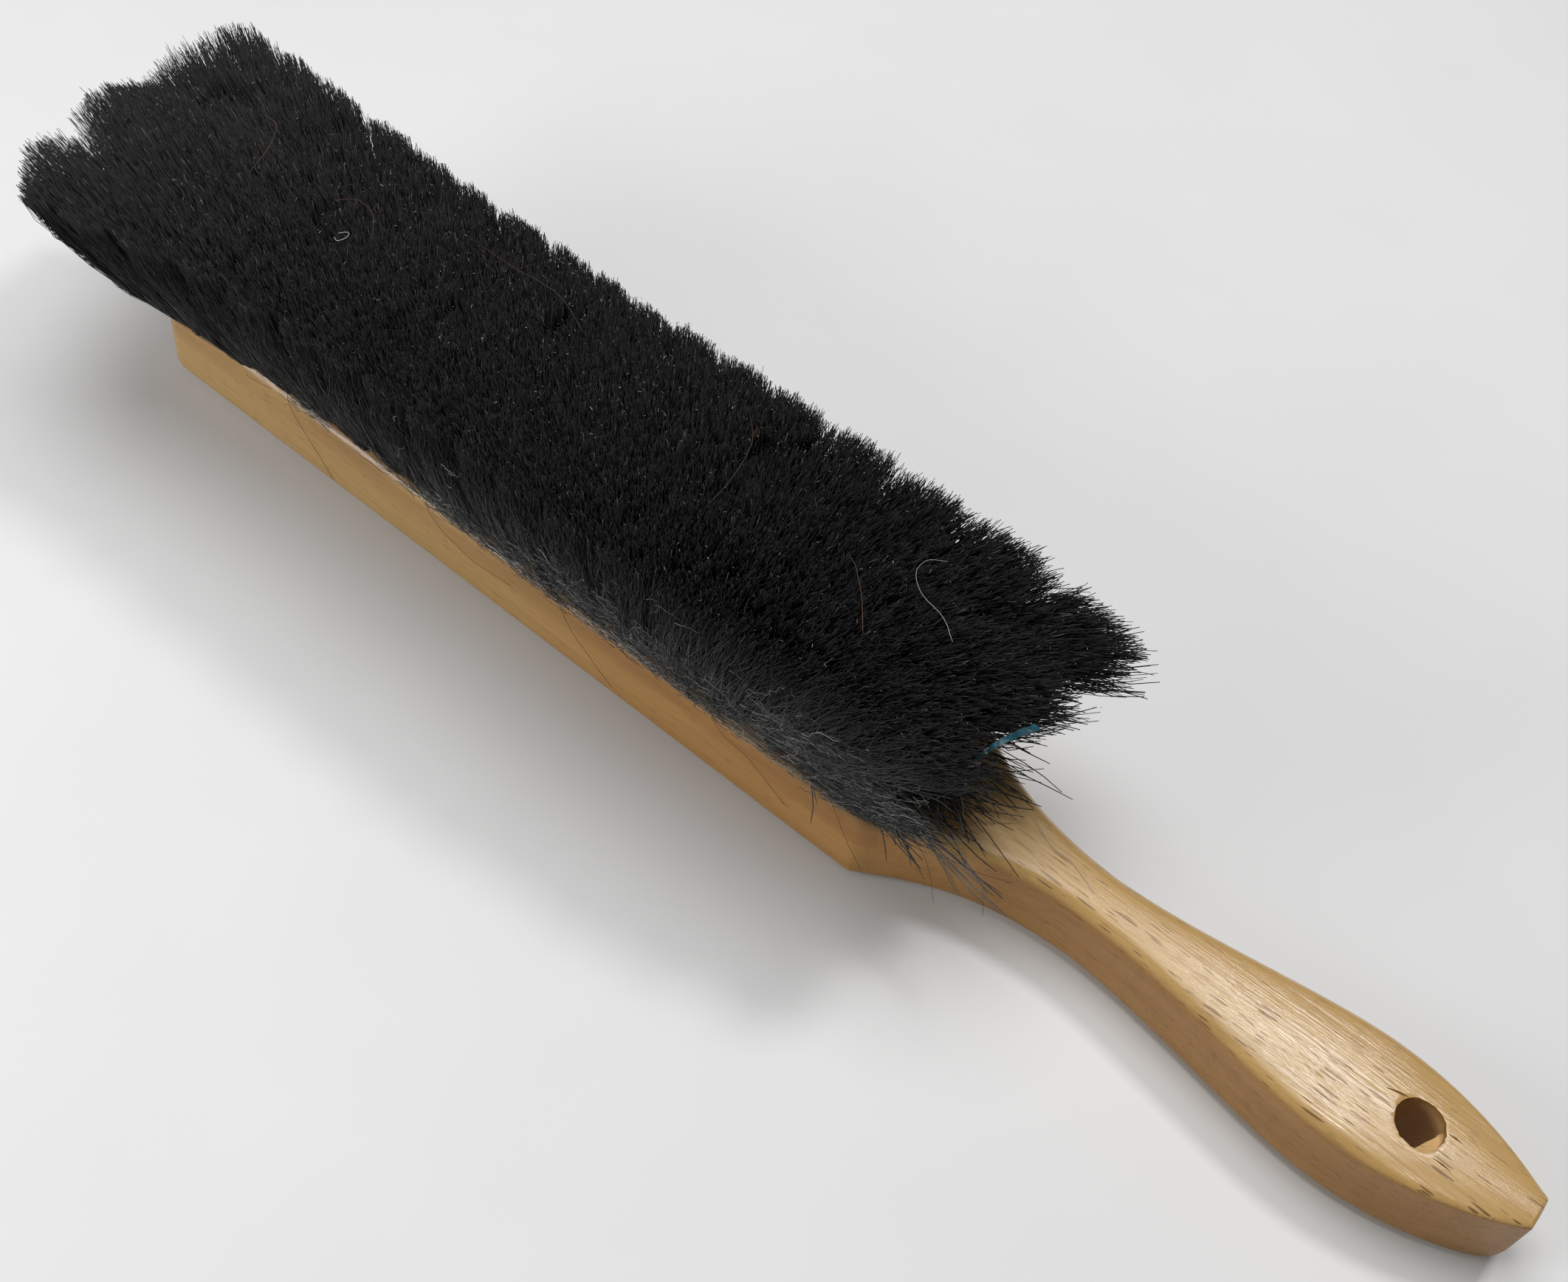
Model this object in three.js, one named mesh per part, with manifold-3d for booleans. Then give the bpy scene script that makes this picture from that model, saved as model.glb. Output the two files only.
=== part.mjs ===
// Counter-style neck duster: a one-piece hardwood block and handle with a field of
// hair tufts set in blind holes. It lies on its flat back with the bristles up.
//
// Millimetres. The origin is on the flat back, under the middle of the block.
// +X runs along the handle to its nose and +Z is the way the bristles point.

import * as THREE from "three";
import { mergeVertices } from "three/addons/utils/BufferGeometryUtils.js";
import Module from "manifold-3d";

const wasm = await Module();
wasm.setup();

// Wood: the block.
const BLOCK_LENGTH = 203;
const BLOCK_WIDTH = 41.2;
const THICKNESS = 19;
const END_RADIUS = 7; // corners of the block's free end
const EDGE_RADIUS = 2; // round-over all along the top and bottom edges
const EDGE_STEPS = 2;

// Wood: the handle's stations, each with its distance past the shoulder, its half width and
// the slope of its edge there.
const SHOULDER = { reach: 0, half: BLOCK_WIDTH / 2, slope: -0.65 };
const NECK = { reach: 44, half: 6.4, slope: 0 };
const GRIP = { reach: 103, half: 13.4, slope: 0 };
const NOSE = { reach: 138, half: 4.2, slope: -0.55 };
const NOSE_CORNER = 1; // cut off each corner of the flat nose, past its station
const CURVE_STEPS = 7;

// How far the control points of the edge between two stations lie from its first and its
// last end, as parts of its run.
const SHOULDER_PULL = { first: 0.32, last: 0.41 };
const GRIP_PULL = { first: 0.34, last: 0.27 };
const NOSE_PULL = { first: 0.4, last: 0.26 };

// The hole that the brush hangs by.
const HANG_HOLE_RADIUS = 4.9;
const HANG_HOLE_FROM_NOSE = 25;
const HANG_HOLE_SIDES = 20;

// Blind holes for the tufts, in staggered ranks across the block.
const TUFTS_IN_OUTER_ROW = 17;
const TUFT_PITCH = 11.3;
const ROW_SPACING = 8;
const FIELD_MIDDLE = -2; // the field sits a little nearer the free end
const HOLE_RADIUS = 2.8;
const HOLE_DEPTH = 12;
const HOLE_SIDES = 8;
const GAP = 0.3; // clearance between any two neighbouring solids

// Bristles: their free length, and how far the tips of the outermost ones lean.
const TRIM = 48;
const SKIRT = 2.5; // how far the field spreads past the outermost tuft centres
const HANDLE_LEAN_FAR_SIDE = 37; // over the handle, on the +Y side
const HANDLE_LEAN_NEAR_SIDE = 29; // over the handle, on the -Y side
const HANDLE_BULGE = 3; // added in the middle of the handle end
const FREE_END_LEAN = 18;
const FREE_END_BULGE = 7; // added in the middle of the free end
const FAR_SIDE_LEAN = 2;
const NEAR_SIDE_LEAN = 15;
const FREE_CORNER_LEAN = 8; // added to the near side at the free end
const HANDLE_CORNER_LEAN = -4; // added to the near side at the handle end
const END_LEAN_POWER = 3; // the lean is gathered in the last few ranks
const BEND_POWER = 1.2; // a bristle leaves the wood a little steeper than it ends

const half_block = BLOCK_LENGTH / 2;
const nose_x = half_block + NOSE.reach + NOSE_CORNER;
const rank_pitch = TUFT_PITCH / 2;
const rank_count = 2 * TUFTS_IN_OUTER_ROW - 1;
const field_half_length = ((rank_count - 1) * rank_pitch) / 2 + SKIRT;
const field_half_width = 2 * ROW_SPACING + SKIRT;

const wood = new THREE.MeshStandardMaterial({ color: 0xd2a869, roughness: 0.45, metalness: 0 });
const hair_colour = { color: 0x17140f, roughness: 0.8, metalness: 0 };

// A closed three.js geometry as a solid that can be joined and cut.
function solid(geometry) {
  const bare = geometry.clone();
  bare.deleteAttribute("normal");
  bare.deleteAttribute("uv");
  const merged = mergeVertices(bare);
  const mesh = new wasm.Mesh({
    numProp: 3,
    vertProperties: new Float32Array(merged.attributes.position.array),
    triVerts: new Uint32Array(merged.index.array),
  });
  return new wasm.Manifold(mesh);
}

function geometry_of(body) {
  const mesh = body.getMesh();
  const geometry = new THREE.BufferGeometry();
  geometry.setAttribute("position", new THREE.BufferAttribute(mesh.vertProperties, 3));
  geometry.setIndex(new THREE.BufferAttribute(mesh.triVerts, 1));
  geometry.computeVertexNormals();
  return geometry;
}

function upright_cylinder(radius, sides, x, y, bottom, top) {
  const geometry = new THREE.CylinderGeometry(radius, radius, top - bottom, sides);
  geometry.rotateX(Math.PI / 2);
  geometry.translate(x, y, (top + bottom) / 2);
  return solid(geometry);
}

function add_handle_edge(path, from, to, pull) {
  const run = to.reach - from.reach;
  const first = pull.first * run;
  const last = pull.last * run;
  path.bezierCurveTo(
    half_block + from.reach + first, from.half + from.slope * first,
    half_block + to.reach - last, to.half - to.slope * last,
    half_block + to.reach, to.half,
  );
}

// One side of the plan outline, from the middle of the free end to the middle of the nose.
function half_outline() {
  const corner_y = BLOCK_WIDTH / 2 - END_RADIUS;
  const path = new THREE.Path();
  path.moveTo(-half_block, 0);
  path.lineTo(-half_block, corner_y);
  path.absarc(-half_block + END_RADIUS, corner_y, END_RADIUS, Math.PI, Math.PI / 2, true);
  path.lineTo(half_block, BLOCK_WIDTH / 2);
  add_handle_edge(path, SHOULDER, NECK, SHOULDER_PULL);
  add_handle_edge(path, NECK, GRIP, GRIP_PULL);
  add_handle_edge(path, GRIP, NOSE, NOSE_PULL);
  path.lineTo(nose_x, NOSE.half - NOSE_CORNER);
  path.lineTo(nose_x, 0);
  return path.getPoints(CURVE_STEPS);
}

function plan_shape() {
  const side = half_outline();
  const other_side = side
    .slice(1, -1)
    .reverse()
    .map((point) => new THREE.Vector2(point.x, -point.y));
  return new THREE.Shape([...side, ...other_side]);
}

function wood_blank() {
  const geometry = new THREE.ExtrudeGeometry(plan_shape(), {
    depth: THICKNESS - 2 * EDGE_RADIUS,
    steps: 1,
    bevelEnabled: true,
    bevelThickness: EDGE_RADIUS,
    bevelSize: EDGE_RADIUS,
    bevelOffset: -EDGE_RADIUS,
    bevelSegments: EDGE_STEPS,
  });
  geometry.translate(0, 0, EDGE_RADIUS);
  return solid(geometry);
}

// Centres of the tufts in one rank: three tufts in even ranks, two in odd ones.
function rank_x(rank) {
  return FIELD_MIDDLE + (rank - (rank_count - 1) / 2) * rank_pitch;
}

function rank_ys(rank) {
  const rows = rank % 2 === 0 ? [-2, 0, 2] : [-1, 1];
  return rows.map((row) => row * ROW_SPACING);
}

function handle_block() {
  const past = 1; // cutters reach this far past the surface that they open
  const top = THICKNESS + past;
  const hole_floor = THICKNESS - HOLE_DEPTH;
  const hang_x = nose_x - HANG_HOLE_FROM_NOSE;
  let body = wood_blank();
  body = body.subtract(upright_cylinder(HANG_HOLE_RADIUS, HANG_HOLE_SIDES, hang_x, 0, -past, top));
  for (let rank = 0; rank < rank_count; rank += 1) {
    for (const y of rank_ys(rank)) {
      body = body.subtract(upright_cylinder(HOLE_RADIUS, HOLE_SIDES, rank_x(rank), y, hole_floor, top));
    }
  }
  return geometry_of(body);
}

// Where a bristle rooted at (x, y) is at the fraction along its length, as the field fans out.
function bristle_point(x, y, fraction) {
  const along = (x - FIELD_MIDDLE) / field_half_length;
  const across = y / field_half_width;
  const to_handle = Math.max(along, 0) ** END_LEAN_POWER;
  const to_free_end = Math.max(-along, 0) ** END_LEAN_POWER;
  const near_side = (1 - across) / 2;
  const far_side = 1 - near_side;
  const middle = 1 - across ** 2;
  const handle_side_lean = HANDLE_LEAN_FAR_SIDE * far_side + HANDLE_LEAN_NEAR_SIDE * near_side;
  const handle_lean = handle_side_lean + HANDLE_BULGE * middle;
  const free_end_lean = FREE_END_LEAN + FREE_END_BULGE * middle;
  const lean_x = handle_lean * to_handle - free_end_lean * to_free_end;
  const near_lean = NEAR_SIDE_LEAN + FREE_CORNER_LEAN * to_free_end + HANDLE_CORNER_LEAN * to_handle;
  const lean_y = FAR_SIDE_LEAN * far_side - near_lean * near_side;
  const rise = Math.sqrt(TRIM ** 2 - lean_x ** 2 - lean_y ** 2);
  const bend = fraction ** BEND_POWER;
  return new THREE.Vector3(x + lean_x * bend, y + lean_y * bend, THICKNESS + GAP + rise * fraction);
}

// The free hair of one rank: a box over the rank's strip of wood, with its corners fanned out.
function rank_hair(rank) {
  const is_first = rank === 0;
  const is_last = rank === rank_count - 1;
  const start = rank_x(rank) - (is_first ? SKIRT : (rank_pitch - GAP) / 2);
  const end = rank_x(rank) + (is_last ? SKIRT : (rank_pitch - GAP) / 2);
  const geometry = new THREE.BoxGeometry(end - start, 2 * field_half_width, 1, 1, 2, 3);
  geometry.translate((start + end) / 2, 0, 0.5);
  if (rank % 2 === 1) {
    // Mirrored, so that the diagonals of its bent faces lie along its neighbours' ones.
    geometry.scale(1, -1, 1);
    geometry.index.array.reverse();
  }
  const corners = geometry.attributes.position;
  for (let i = 0; i < corners.count; i += 1) {
    const place = bristle_point(corners.getX(i), corners.getY(i), corners.getZ(i));
    corners.setXYZ(i, place.x, place.y, place.z);
  }
  return solid(geometry);
}

function tuft_rank(rank) {
  const foot = THICKNESS - HOLE_DEPTH + GAP;
  const overlap = 0.15; // how far each root runs up into the hair that it joins
  const top = THICKNESS + GAP + overlap;
  let body = rank_hair(rank);
  for (const y of rank_ys(rank)) {
    body = body.add(upright_cylinder(HOLE_RADIUS - GAP, HOLE_SIDES, rank_x(rank), y, foot, top));
  }
  return geometry_of(body);
}

const brush = new THREE.Group();

const block = new THREE.Mesh(handle_block(), wood);
block.name = "handle_block";
brush.add(block);

for (let rank = 0; rank < rank_count; rank += 1) {
  const hair = new THREE.MeshStandardMaterial(hair_colour);
  const tufts = new THREE.Mesh(tuft_rank(rank), hair);
  tufts.name = `tuft_rank_${String(rank + 1).padStart(2, "0")}`;
  brush.add(tufts);
}

export default brush;
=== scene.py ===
"""Neck duster brush: fine wood, single hairs, caught lint, studio and camera around the CAD frame."""
import math

import bmesh
import bpy
import numpy as np
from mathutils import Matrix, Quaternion, Vector


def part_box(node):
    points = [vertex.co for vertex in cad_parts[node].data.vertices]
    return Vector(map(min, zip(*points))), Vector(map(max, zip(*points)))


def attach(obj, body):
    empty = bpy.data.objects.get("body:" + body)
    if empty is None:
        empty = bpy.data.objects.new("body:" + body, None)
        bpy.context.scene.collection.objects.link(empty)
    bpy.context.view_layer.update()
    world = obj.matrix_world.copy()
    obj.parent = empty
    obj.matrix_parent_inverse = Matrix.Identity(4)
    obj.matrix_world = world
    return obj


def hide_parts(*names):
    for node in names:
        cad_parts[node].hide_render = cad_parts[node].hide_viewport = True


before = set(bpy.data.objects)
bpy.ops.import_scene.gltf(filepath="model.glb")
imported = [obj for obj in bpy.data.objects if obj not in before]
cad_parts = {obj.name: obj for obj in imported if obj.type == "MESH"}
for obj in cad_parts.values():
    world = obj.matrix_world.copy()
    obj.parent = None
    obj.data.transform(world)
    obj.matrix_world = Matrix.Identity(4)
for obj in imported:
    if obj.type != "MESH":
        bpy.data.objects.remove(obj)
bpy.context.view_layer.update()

MM = 0.001
SEED = 20

# Wood. The frame's origin is under the middle of the block, on its flat back.
wood_low, wood_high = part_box("handle_block")
THICKNESS = wood_high.z
HALF_WIDTH = wood_high.y
FREE_END_X = wood_low.x
SHOULDER_X = -FREE_END_X
NOSE_X = wood_high.x

# The handle's stations, as in the CAD: distance past the shoulder, half width, edge slope.
# A pull is how far the control points are from the ends of a run, as parts of it.
SHOULDER = (0, HALF_WIDTH, -0.65)
NECK = (44 * MM, 6.4 * MM, 0)
GRIP = (103 * MM, 13.4 * MM, 0)
NOSE = (138 * MM, 4.2 * MM, -0.55)
STATIONS_X = [SHOULDER_X, SHOULDER_X + NECK[0], SHOULDER_X + GRIP[0], NOSE_X]
SHOULDER_PULL = (0.32, 0.41)
GRIP_PULL = (0.34, 0.27)
NOSE_PULL = (0.4, 0.26)
END_RADIUS = 7 * MM
CROWN = 0.8 * MM  # how much lower the handle's top face is at its edges
HOLE_RADIUS = 4.9 * MM
HOLE_X = NOSE_X - 25 * MM

# Spacing of the points of the wood's outline, and of its rows.
OUTLINE_STEP = 0.05 * MM
BLOCK_STEP = 1.5 * MM
HANDLE_STEP = 0.8 * MM
HOLE_STEP = 0.4 * MM

# Cracks along the grain by the hang hole, in millimetres from its middle: start, end, width
# and depth.
CRACKS = [
    ((4, -4.4), (9.5, -4.5), 0.5, 0.5),
    ((4.7, 1.7), (8, 1.8), 0.45, 0.4),
    ((-8.6, 1.9), (-3, 3.5), 0.5, 0.5),
    ((-7, 0.2), (-4.6, 0.4), 0.35, 0.3),
]

# Tuft field, as in the CAD.
RANKS = 33
RANK_PITCH = 5.65 * MM
ROW_SPACING = 8 * MM
FIELD_MIDDLE = -2 * MM
TUFT_HOLE_RADIUS = 2.8 * MM
TUFT_HOLE_DEPTH = 12 * MM
SKIRT = 2.5 * MM
FIELD_HALF_LENGTH = (RANKS - 1) / 2 * RANK_PITCH + SKIRT
FIELD_HALF_WIDTH = 2 * ROW_SPACING + SKIRT
TRIM = 48 * MM

CLUMPS_PER_TUFT = 100
HAIRS_PER_CLUMP = 9
HAIRS_PER_TUFT = CLUMPS_PER_TUFT * HAIRS_PER_CLUMP
HAIR_RADIUS = 0.08 * MM
TUFT_SPREAD = 5.9 * MM  # radius of one tuft's tips, before the field fans out
TUFT_OPENING = 13  # how quickly a tuft opens above its hole
BEND_ALONG = 1.2  # a hair that leans along X leaves the wood a little steeper than it ends
BEND_ACROSS = 0.66  # a hair that leans over the block's side is bent most at its root
BAKE_CELLS = 64  # each hair or fibre has a cell of a grid with this many cells a side

# Levels of a hair, as parts of its length; how far it wanders at each, in millimetres; and
# its thickness at its foot and at each.
HAIR_LEVELS = np.array([0, 0.03, 0.11, 0.35, 0.6, 0.76, 0.89, 1.0])
HAIR_WANDER = np.array([0, 0.05, 0.2, 0.5, 0.65, 0.65, 0.6, 0.3])
HAIR_TAPER = np.array([1, 1, 1, 1, 1, 1, 1, 0.95, 0.75])

# How far the tips lean over each end and side, in millimetres: the sum over the parts of the
# field that lean() names.
HANDLE_LEAN = {"far_side": 32, "near_side": 29.5, "near_row": 4, "far_row": 7.5}
FREE_END_LEAN = {"far_side": 21, "near_side": 17, "middle": 12, "far_row": 14, "near_row": 4}
FAR_SIDE_LEAN = {"all": 0.2, "to_handle": 11.2, "free_corner": 8}
NEAR_SIDE_LEAN = {"all": 16.3, "to_handle": -10.5, "to_free_end": 9.6}
END_POWER = 3  # the lean is gathered in the last few ranks
LEAN_STOPS = 1.04  # and grows no further past this part of the field's half length
ROW_PLACE = 0.45  # where the far and near rows lie, as a part of the field's half width
ROW_REACH = 0.25

# Three kinds of hairs bent down over the neck: how many, and ranges of their length in
# millimetres, heading from +X towards +Y, turn, first rise and last rise in degrees.
NECK_HAIRS = [
    (540, (26, 47), (-4, 45), (-45, 30), (30, 80), (-14, 40)),
    (400, (14, 36), (-12, 50), (-40, 45), (35, 80), (-20, 30)),
    (7, (44, 47.5), (-6, 0), (-4, 10), (48, 52), (-8, -3)),
]

# Loose hairs: piece name, darkest and lightest colour, and points in millimetres.
LOOSE_HAIR_RADIUS = 0.05 * MM
LOOSE_HAIRS = [
    ("brown_loose_hairs", ((0.03, 0.018, 0.01), (0.10, 0.06, 0.03)), [
        [(106, -17.5, 24), (113.7, -17.4, 19.8), (117, -16.4, 12), (119, -16, 4)],
        [(118, -14, 21), (124.9, -12.6, 17), (127, -11.8, 10), (128.3, -11.6, 4)],
        [(90, -19, 23), (97, -21.1, 17), (101, -21.2, 11), (104, -20.4, 5)],
        [(60, -19, 22), (66, -21, 17), (74, -21, 15), (84, -21, 9)],
        [(20, -19, 22), (24, -21, 16), (32, -21.1, 9), (38, -20.9, 4)],
        [(100, -18, 20), (112, -16, 19.4), (124, -13.5, 19.4), (131, -10.5, 19.3)],
        [(-20, -19, 22), (-14, -21, 16), (-3, -21.1, 12), (9, -21, 13)],
        [(-60, -19, 22), (-57, -21, 17), (-49, -21.2, 8), (-46, -21, 3)],
    ]),
    ("pale_loose_hairs", ((0.32, 0.30, 0.27), (0.62, 0.60, 0.56)), [
        [(91, 7.5, 67), (88.4, 4.6, 67.6), (88.6, 0.5, 67.8), (92.5, -2.8, 67.8), (98, -4, 67.5),
         (102.4, -7, 67)],
        [(126, 4.5, 19.4), (132, 1.6, 19.4), (138, 1, 19.3), (144, -1, 19.3)],
        [(-48.3, -11, 67), (-46.5, -10, 67.8), (-45.4, -11.6, 68), (-46.4, -13, 67.6), (-48, -12.4, 67)],
    ]),
    ("reddish_loose_hairs", ((0.05, 0.02, 0.01), (0.14, 0.07, 0.04)), [
        [(76.7, -4, 67), (80, -6.5, 67.8), (85.5, -12, 67.6), (89.4, -16.3, 66)],
        [(-86, 4, 66), (-80, 2, 68), (-76, -4, 68), (-75, -10, 66)],
        [(-30, 8, 66), (-18, 6, 68), (-6, 7, 68), (4, 4, 66)],
        [(40, 12, 66), (47, 4, 68), (50, -6, 68), (50, -12, 66)],
        [(-57, -4, 66), (-52, -2, 68), (-47, -3, 68), (-44, -6, 66)],
    ]),
]

# Middle line of the teal sliver, in millimetres.
SLIVER_PATH = [(117.4, -16.8, 55.4), (118.6, -13.2, 57.4), (120.4, -9, 58.2), (122.2, -4.8, 58)]


# ---- meshes

def link_object(name, data):
    piece = bpy.data.objects.new(name, data)
    bpy.context.collection.objects.link(piece)
    return piece


def mesh_object(name, points, faces, material):
    mesh = bpy.data.meshes.new(name)
    mesh.from_pydata(points, [], faces)
    mesh.validate()
    mesh.materials.append(material)
    return link_object(name, mesh)


def loft_faces(count, levels, start=0):
    """Faces of a closed solid of rings of points from start on: two caps and the sides."""
    last = start + (levels - 1) * count
    faces = [tuple(start + k for k in reversed(range(count))), tuple(last + k for k in range(count))]
    for low in range(start, last, count):
        for k in range(count):
            after = (k + 1) % count
            faces.append((low + k, low + after, low + count + after, low + count + k))
    return faces


def unit(vectors):
    return vectors / np.linalg.norm(vectors, axis=-1, keepdims=True)


def tube_object(name, paths, radii, material, rng, sides=3):
    """Closed tubes along paths (tube, level, xyz) as one mesh, with radii (tube, level or 1)."""
    count, levels, _ = paths.shape
    tangents = unit(np.gradient(paths, axis=1))
    reference = unit(rng.normal(size=(count, 1, 3)))
    across = unit(np.cross(tangents, reference))
    upward = np.cross(tangents, across)
    turn = np.arange(sides) * 2 * np.pi / sides
    circle = np.cos(turn)[:, None] * across[:, :, None] + np.sin(turn)[:, None] * upward[:, :, None]
    points = paths[:, :, None] + radii[:, :, None, None] * circle

    index = np.arange(count * levels * sides).reshape(count, levels, sides)
    after = np.roll(index, -1, axis=2)
    quads = np.stack([index[:, :-1], after[:, :-1], after[:, 1:], index[:, 1:]], axis=-1)
    caps = np.concatenate([index[:, 0, ::-1], index[:, -1]])
    corners = np.concatenate([quads.ravel(), caps.ravel()])
    quad_count = quads.size // 4
    starts = np.append(np.arange(quad_count) * 4, quad_count * 4 + np.arange(len(caps)) * sides)
    mesh = bpy.data.meshes.new(name)
    mesh.vertices.add(points.size // 3)
    mesh.vertices.foreach_set("co", points.ravel())
    mesh.loops.add(len(corners))
    mesh.polygons.add(len(starts))
    mesh.polygons.foreach_set("loop_start", starts)
    mesh.polygons.foreach_set("vertices", corners)
    mesh.update(calc_edges=True)
    add_cell_uvs(mesh, count, levels, sides, rng)
    mesh.shade_smooth()
    mesh.materials.append(material)
    return link_object(name, mesh)


def add_cell_uvs(mesh, count, levels, sides, rng):
    """Gives each tube its own cell of a square grid: U around the tube, V along it."""
    cell = rng.permutation(BAKE_CELLS ** 2)[:count]
    corner = np.stack([cell % BAKE_CELLS, cell // BAKE_CELLS], axis=1)[:, None, None, None]
    around = np.arange(sides)[:, None] + np.array([0, 1, 1, 0])
    along = np.arange(levels - 1)[:, None, None] + np.array([0, 0, 1, 1])
    quads = np.stack(np.broadcast_arrays(around / sides, along / (levels - 1)), axis=-1)
    turn = np.arange(sides) / sides
    foot = np.stack([turn[::-1], np.zeros(sides)], axis=1)
    tip = np.stack([turn, np.ones(sides)], axis=1)
    margin = 0.1
    uv = np.concatenate([
        ((corner + margin + (1 - 2 * margin) * inside) / BAKE_CELLS).reshape(-1, 2)
        for inside in (quads, foot, tip)
    ])
    mesh.uv_layers.new(name="OFBake").data.foreach_set("uv", uv.ravel())


# ---- materials

class Graph:
    """Short forms for the shader nodes of a material."""

    def __init__(self, name):
        self.material = bpy.data.materials.new(name)
        self.material.use_nodes = True
        self.tree = self.material.node_tree
        self.shader = self.tree.nodes["Principled BSDF"]

    def node(self, kind, inputs=(), **settings):
        made = self.tree.nodes.new(kind)
        for key, value in settings.items():
            setattr(made, key, value)
        for key, value in dict(inputs).items():
            self.feed(made.inputs[key], value)
        return made

    def feed(self, socket, value):
        if isinstance(value, bpy.types.NodeSocket):
            self.tree.links.new(value, socket)
        else:
            socket.default_value = (*value, 1) if socket.type == "RGBA" else value

    def math(self, operation, a, b=0.0):
        return self.node("ShaderNodeMath", {0: a, 1: b}, operation=operation).outputs[0]

    def product(self, first, *others):
        for other in others:
            first = self.math("MULTIPLY", first, other)
        return first

    def scale_add(self, value, factor, extra):
        """value * factor + extra"""
        inputs = {0: value, 1: factor, 2: extra}
        return self.node("ShaderNodeMath", inputs, operation="MULTIPLY_ADD").outputs[0]

    def fade(self, value, start, end):
        """0 at start and 1 at end, smooth between them."""
        inputs = {"Value": value, "From Min": start, "From Max": end}
        made = self.node("ShaderNodeMapRange", inputs, interpolation_type="SMOOTHSTEP")
        return made.outputs["Result"]

    def mix(self, factor, a, b, blend="MIX"):
        made = self.node("ShaderNodeMix", data_type="RGBA", blend_type=blend)
        self.feed(made.inputs[0], factor)
        self.feed(made.inputs[6], a)
        self.feed(made.inputs[7], b)
        return made.outputs[2]

    def scaled(self, vector, scale):
        inputs = {0: vector, 1: scale}
        return self.node("ShaderNodeVectorMath", inputs, operation="MULTIPLY").outputs[0]

    def noise(self, vector, scale=1.0, detail=2.0, roughness=0.5):
        inputs = {"Vector": vector, "Scale": scale, "Detail": detail, "Roughness": roughness}
        return self.node("ShaderNodeTexNoise", inputs).outputs["Fac"]

    def millimetres(self):
        """The place on the piece, in millimetres of the frame."""
        place = self.node("ShaderNodeTexCoord").outputs["Object"]
        return self.scaled(place, (1000, 1000, 1000))

    def split(self, vector):
        return self.node("ShaderNodeSeparateXYZ", {0: vector}).outputs

    def bump(self, normal, height, depth, strength):
        inputs = {"Height": height, "Distance": depth, "Strength": strength}
        self.feed(self.shader.inputs[normal], self.node("ShaderNodeBump", inputs).outputs[0])

    def finish(self, colour, roughness, others=()):
        """Others are further inputs of the shader by name."""
        for key, value in {"Base Color": colour, "Roughness": roughness, **dict(others)}.items():
            self.feed(self.shader.inputs[key], value)
        return self.material


def wood_material():
    """Fibres and lines in the lacquer's colour, open pores, dirt and painted shade along the top of the
    block's sides, and painted shade darkening the upright sides.
    """
    graph = Graph("lacquered_beech")
    place = graph.millimetres()
    x, y, z = graph.split(place)
    side = side_mask(graph)
    grain = wandering_grain(graph, place)
    fibres = graph.noise(graph.scaled(grain, (0.07, 4.2, 4.2)), detail=4, roughness=0.7)
    lines = graph.noise(graph.scaled(grain, (0.03, 1.3, 1.3)), detail=3, roughness=0.6)
    pores = all_pores(graph, grain, x, y, side)

    colour = grain_colour(graph, place, grain, fibres, lines)
    colour = graph.mix(graph.product(pores, 0.9), colour, (0.17, 0.085, 0.028))
    # Dirt and painted shade: the top of the block's sides, under the overhanging hair, is darkened.
    dirt_and_shade = dirt_and_shade_mask(graph, place, x, y, z)
    colour = graph.mix(graph.product(dirt_and_shade, 0.62), colour, (0.25, 0.118, 0.035))
    # Painted shade: the upright sides are multiplied darker, a little on the block and more on the
    # handle.
    side_shade_tone = graph.mix(graph.fade(x, 104.0, 130.0), (0.97, 0.82, 0.66), (0.70, 0.57, 0.44))
    side_shade_mask = graph.product(side, graph.fade(x, -20.0, 70.0))
    colour = graph.mix(side_shade_mask, colour, side_shade_tone, "MULTIPLY")
    colour = graph.mix(hole_mask(graph, x, y, z), colour, (0.55, 0.34, 0.16))

    relief = graph.scale_add(pores, -0.8, graph.product(fibres, 0.7))
    graph.bump("Normal", relief, 0.12 * MM, 0.6)
    lacquered = graph.scale_add(lines, 1.5, graph.product(fibres, 0.35))
    graph.bump("Coat Normal", graph.scale_add(pores, -0.4, lacquered), 0.12 * MM, 0.6)
    return graph.finish(colour, graph.scale_add(pores, 0.3, 0.42), {
        "Specular IOR Level": 0.25,
        "Coat Weight": graph.scale_add(side, -0.45, 0.75),
        "Coat Roughness": 0.16,
    })


def wandering_grain(graph, place):
    """Where the grain is looked up: the place, moved a little sideways along the wood."""
    wobble = graph.noise(graph.scaled(place, (0.02, 0.1, 0.1)), detail=1)
    sideways = graph.scale_add(wobble, 3.0, 0.5)
    shift = graph.node("ShaderNodeCombineXYZ", {1: sideways, 2: sideways}).outputs[0]
    return graph.node("ShaderNodeVectorMath", {0: place, 1: shift}, operation="ADD").outputs[0]


def grain_colour(graph, place, grain, fibres, lines):
    """Wide bands of two tones, under clouds, dark fibres, dark lines and pale fibres."""
    bands = graph.noise(graph.scaled(grain, (0.006, 0.2, 0.2)), detail=3, roughness=0.6)
    cloud = graph.noise(graph.scaled(place, (0.03, 0.06, 0.06)))
    colour = graph.mix(graph.fade(bands, 0.3, 0.7), (0.54, 0.345, 0.128), (0.44, 0.265, 0.088))
    for mask, strength, tone in (
        (cloud, 0.35, (0.48, 0.27, 0.08)),
        (graph.fade(fibres, 0.47, 0.74), 0.4, (0.28, 0.15, 0.045)),
        (graph.fade(lines, 0.56, 0.72), 0.3, (0.30, 0.165, 0.06)),
        (graph.fade(fibres, 0.45, 0.2), 0.4, (0.63, 0.44, 0.19)),
    ):
        colour = graph.mix(graph.product(mask, strength), colour, tone)
    return colour


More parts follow.
